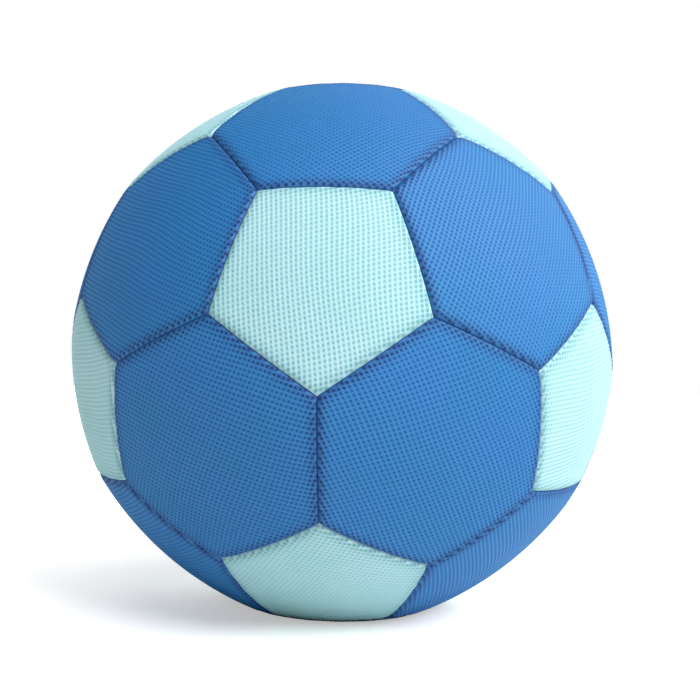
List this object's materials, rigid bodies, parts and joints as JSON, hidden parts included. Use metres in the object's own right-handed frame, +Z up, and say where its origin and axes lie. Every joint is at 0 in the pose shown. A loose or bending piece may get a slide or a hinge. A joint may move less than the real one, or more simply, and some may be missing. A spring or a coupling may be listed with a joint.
{
  "type": "play ball",
  "caption": "Large soft play ball: a sewn mesh cover of pentagon and hexagon panels, closed by a zip, over an inflated bladder with a stopper valve.",
  "frame": {"origin": "middle of the flat patch that the ball rests on, straight under its centre", "axes": "+Z up; -Y towards the side in the picture, where a pentagon faces almost level and another faces down between it and the resting hexagon; the zip is at the back, towards +Y and -X"},
  "size_m": [0.3986, 0.3972, 0.3844],
  "materials": {
    "mesh_blue": "matt spacer mesh",
    "mesh_aqua": "matt spacer mesh",
    "thread_blue": "polyester thread",
    "guard_fabric": "plain weave",
    "zip_tape": "woven tape",
    "zip_plastic": "moulded",
    "zip_metal": "nickel plated, satin",
    "bladder_clear": "soft vinyl film",
    "bladder_tint": "soft vinyl film",
    "valve_vinyl": "moulded vinyl",
    "stopper_vinyl": "moulded vinyl"
  },
  "bodies": {
    "cover": {"pentagon_lower_1": "mesh_aqua", "pentagon_lower_2": "mesh_aqua", "pentagon_lower_3": "mesh_aqua", "pentagon_low_belt_1": "mesh_aqua", "pentagon_low_belt_2": "mesh_aqua", "pentagon_low_belt_3": "mesh_aqua", "pentagon_high_belt_1": "mesh_aqua", "pentagon_high_belt_2": "mesh_aqua", "pentagon_high_belt_3": "mesh_aqua", "pentagon_upper_1": "mesh_aqua", "pentagon_upper_2": "mesh_aqua", "pentagon_upper_3": "mesh_aqua", "hexagon_lower_1": "mesh_blue", "hexagon_lower_2": "mesh_blue", "hexagon_lower_3": "mesh_blue", "hexagon_low_belt_1": "mesh_blue", "hexagon_low_belt_2": "mesh_blue", "hexagon_low_belt_3": "mesh_blue", "hexagon_low_belt_4": "mesh_blue", "hexagon_low_belt_5": "mesh_blue", "hexagon_low_belt_6": "mesh_blue", "hexagon_high_belt_1": "mesh_blue", "hexagon_high_belt_2": "mesh_blue", "hexagon_high_belt_3": "mesh_blue", "hexagon_high_belt_5": "mesh_blue", "hexagon_high_belt_6": "mesh_blue", "hexagon_upper_1": "mesh_blue", "hexagon_upper_2": "mesh_blue", "hexagon_upper_3": "mesh_blue", "hexagon_base": "mesh_blue", "hexagon_top": "mesh_blue", "zip_panel_left": "mesh_blue", "zip_panel_right": "mesh_blue", "seam_thread": "thread_blue", "zip_tape_left": "zip_tape", "zip_tape_right": "zip_tape", "zip_teeth_left": "zip_plastic", "zip_teeth_right": "zip_plastic", "zip_top_stops": "zip_metal", "zip_bottom_stop": "zip_metal", "zip_stitching": "thread_blue", "zip_guard": "guard_fabric", "bladder_gore_1": "bladder_clear", "bladder_gore_2": "bladder_tint", "bladder_gore_3": "bladder_clear", "bladder_gore_4": "bladder_tint", "bladder_gore_5": "bladder_clear", "bladder_gore_6": "bladder_tint", "bladder_disc_front": "bladder_clear", "bladder_disc_rear": "bladder_clear", "valve_stem": "valve_vinyl"},
    "zip_slider": {"zip_slider": "zip_metal"},
    "pull_tab": {"pull_tab": "zip_metal"},
    "valve_stopper": {"valve_stopper": "stopper_vinyl"}
  },
  "joints": [
    {"name": "zip_travel", "type": "hinge", "parent": "cover", "child": "zip_slider", "pos_m": [0.01535, -0.03755, 0.17305], "axis": [-0.9342, -0.3333, -0.1273], "range_deg": [0, 27.2]},
    {"name": "tab_swing", "type": "hinge", "parent": "zip_slider", "child": "pull_tab", "pos_m": [-0.0682, 0.14646, 0.30436], "axis": [0.9342, 0.3333, 0.1273], "range_deg": [0, 165]},
    {"name": "stopper_pull", "type": "slide", "parent": "cover", "child": "valve_stopper", "axis": [-0.3568, 0.8727, 0.3333], "range_m": [0, 0.007]}
  ]
}
